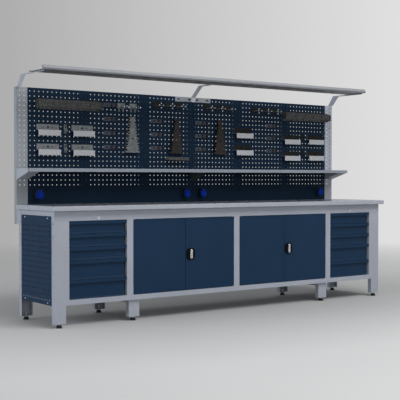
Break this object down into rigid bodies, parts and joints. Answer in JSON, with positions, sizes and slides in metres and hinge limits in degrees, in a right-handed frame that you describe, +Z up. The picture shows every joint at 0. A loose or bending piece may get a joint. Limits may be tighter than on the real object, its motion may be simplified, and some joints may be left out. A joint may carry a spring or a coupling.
{
  "type": "workbench",
  "caption": "Metal workbench with drawers, cupboards, a perforated back board with tool holders, a shelf and a canopy, in light grey and deep navy powder coat",
  "frame": {"origin": "on the floor, under the middle of the bench's overall box", "axes": "+X to the right along the bench, +Y to the back, +Z up"},
  "size_m": [3.358, 0.699, 1.899],
  "materials": {
    "frame_grey": "fine textured powder coat, satin",
    "top_grey": "smooth satin sheet top",
    "pale_grey": "satin powder coat",
    "door_navy": "fine textured powder coat, satin",
    "board_navy": "fine textured powder coat, matte",
    "foot_black": "moulded, matte",
    "plate_black": "moulded, fine grain",
    "socket_grey": "moulded, matte",
    "lid_blue": "moulded, semi gloss",
    "holder_grey": "thin powder coat",
    "plated_steel": "zinc plated",
    "bright_metal": "bright plated",
    "screw_metal": "zinc plated"
  },
  "bodies": {
    "root": {"worktop": "top_grey", "top_rails": "frame_grey", "rear_rail": "frame_grey", "front_legs": "frame_grey", "rear_legs": "frame_grey", "middle_stands": "frame_grey", "levelling_feet": "foot_black", "end_rails": "frame_grey", "side_panels": "door_navy", "left_drawer_cabinet": "frame_grey", "left_cupboard": "frame_grey", "right_cupboard": "frame_grey", "right_drawer_cabinet": "frame_grey", "drawer_runners": "plated_steel", "hinge_pins": "plated_steel", "cupboard_shelves": "pale_grey", "end_posts": "frame_grey", "rear_uprights": "frame_grey", "board_panel_1": "board_navy", "board_panel_2": "board_navy", "board_panel_3": "board_navy", "board_panel_4": "board_navy", "board_panel_5": "board_navy", "board_panel_6": "board_navy", "socket_bases": "socket_grey", "shelf": "frame_grey", "shelf_brackets": "frame_grey", "canopy": "frame_grey", "canopy_arms": "frame_grey", "centre_plate": "pale_grey", "comb_racks": "holder_grey", "tray_holders": "pale_grey", "tool_clips": "holder_grey", "twin_hooks": "holder_grey", "spanner_racks": "holder_grey", "screws": "screw_metal"},
    "left_drawer_1_body": {"left_drawer_1": "door_navy"},
    "left_drawer_2_body": {"left_drawer_2": "door_navy"},
    "left_drawer_3_body": {"left_drawer_3": "door_navy"},
    "left_drawer_4_body": {"left_drawer_4": "door_navy"},
    "left_drawer_5_body": {"left_drawer_5": "door_navy"},
    "right_drawer_1_body": {"right_drawer_1": "door_navy"},
    "right_drawer_2_body": {"right_drawer_2": "door_navy"},
    "right_drawer_3_body": {"right_drawer_3": "door_navy"},
    "right_drawer_4_body": {"right_drawer_4": "door_navy"},
    "right_drawer_5_body": {"right_drawer_5": "door_navy"},
    "left_door_a_body": {"left_door_a": "door_navy"},
    "left_door_b_body": {"left_door_b": "door_navy", "left_handle_plate": "plate_black"},
    "right_door_a_body": {"right_door_a": "door_navy"},
    "right_door_b_body": {"right_door_b": "door_navy", "right_handle_plate": "plate_black"},
    "left_handle_body": {"left_handle": "bright_metal"},
    "right_handle_body": {"right_handle": "bright_metal"},
    "left_drawer_lock_body": {"left_drawer_lock": "bright_metal"},
    "right_drawer_lock_body": {"right_drawer_lock": "bright_metal"},
    "socket_lid_1_body": {"socket_lid_1": "lid_blue"},
    "socket_lid_2_body": {"socket_lid_2": "lid_blue"},
    "socket_lid_3_body": {"socket_lid_3": "lid_blue"},
    "socket_lid_4_body": {"socket_lid_4": "lid_blue"}
  },
  "joints": [
    {"name": "left_drawer_1_slide", "type": "slide", "parent": "root", "child": "left_drawer_1_body", "axis": [0, -1, 0], "range_m": [0, 0.42]},
    {"name": "left_drawer_2_slide", "type": "slide", "parent": "root", "child": "left_drawer_2_body", "axis": [0, -1, 0], "range_m": [0, 0.42]},
    {"name": "left_drawer_3_slide", "type": "slide", "parent": "root", "child": "left_drawer_3_body", "axis": [0, -1, 0], "range_m": [0, 0.42]},
    {"name": "left_drawer_4_slide", "type": "slide", "parent": "root", "child": "left_drawer_4_body", "axis": [0, -1, 0], "range_m": [0, 0.42]},
    {"name": "left_drawer_5_slide", "type": "slide", "parent": "root", "child": "left_drawer_5_body", "axis": [0, -1, 0], "range_m": [0, 0.42]},
    {"name": "right_drawer_1_slide", "type": "slide", "parent": "root", "child": "right_drawer_1_body", "axis": [0, -1, 0], "range_m": [0, 0.42]},
    {"name": "right_drawer_2_slide", "type": "slide", "parent": "root", "child": "right_drawer_2_body", "axis": [0, -1, 0], "range_m": [0, 0.42]},
    {"name": "right_drawer_3_slide", "type": "slide", "parent": "root", "child": "right_drawer_3_body", "axis": [0, -1, 0], "range_m": [0, 0.42]},
    {"name": "right_drawer_4_slide", "type": "slide", "parent": "root", "child": "right_drawer_4_body", "axis": [0, -1, 0], "range_m": [0, 0.42]},
    {"name": "right_drawer_5_slide", "type": "slide", "parent": "root", "child": "right_drawer_5_body", "axis": [0, -1, 0], "range_m": [0, 0.42]},
    {"name": "left_door_a_hinge", "type": "hinge", "parent": "root", "child": "left_door_a_body", "pos_m": [-0.984, -0.2965, 0.482], "axis": [0, 0, -1], "range_deg": [0, 95]},
    {"name": "left_door_b_hinge", "type": "hinge", "parent": "root", "child": "left_door_b_body", "pos_m": [-0.037, -0.2965, 0.482], "axis": [0, 0, 1], "range_deg": [0, 90]},
    {"name": "right_door_a_hinge", "type": "hinge", "parent": "root", "child": "right_door_a_body", "pos_m": [0.037, -0.2965, 0.482], "axis": [0, 0, -1], "range_deg": [0, 90]},
    {"name": "right_door_b_hinge", "type": "hinge", "parent": "root", "child": "right_door_b_body", "pos_m": [0.984, -0.2965, 0.482], "axis": [0, 0, 1], "range_deg": [0, 95]},
    {"name": "left_handle_turn", "type": "hinge", "parent": "left_door_b_body", "child": "left_handle_body", "pos_m": [-0.4635, -0.3025, 0.482], "axis": [0, 1, 0], "range_deg": [0, 90]},
    {"name": "right_handle_turn", "type": "hinge", "parent": "right_door_b_body", "child": "right_handle_body", "pos_m": [0.5575, -0.3025, 0.482], "axis": [0, 1, 0], "range_deg": [0, 90]},
    {"name": "left_drawer_lock_turn", "type": "hinge", "parent": "root", "child": "left_drawer_lock_body", "pos_m": [-1.292, -0.3025, 0.7845], "axis": [0, 1, 0], "range_deg": [0, 90]},
    {"name": "right_drawer_lock_turn", "type": "hinge", "parent": "root", "child": "right_drawer_lock_body", "pos_m": [1.292, -0.3025, 0.7845], "axis": [0, 1, 0], "range_deg": [0, 90]},
    {"name": "socket_lid_1_hinge", "type": "hinge", "parent": "root", "child": "socket_lid_1_body", "pos_m": [-1.47892, 0.266, 0.981], "axis": [-1, 0, 0], "range_deg": [0, 100], "stiffness_Nm_per_rad": 0.05, "springref_deg": -17.19},
    {"name": "socket_lid_2_hinge", "type": "hinge", "parent": "root", "child": "socket_lid_2_body", "pos_m": [-0.08888, 0.266, 0.981], "axis": [-1, 0, 0], "range_deg": [0, 100], "stiffness_Nm_per_rad": 0.05, "springref_deg": -17.19},
    {"name": "socket_lid_3_hinge", "type": "hinge", "parent": "root", "child": "socket_lid_3_body", "pos_m": [0.0828, 0.266, 0.981], "axis": [-1, 0, 0], "range_deg": [0, 100], "stiffness_Nm_per_rad": 0.05, "springref_deg": -17.19},
    {"name": "socket_lid_4_hinge", "type": "hinge", "parent": "root", "child": "socket_lid_4_body", "pos_m": [1.4698, 0.266, 0.981], "axis": [-1, 0, 0], "range_deg": [0, 100], "stiffness_Nm_per_rad": 0.05, "springref_deg": -17.19}
  ]
}
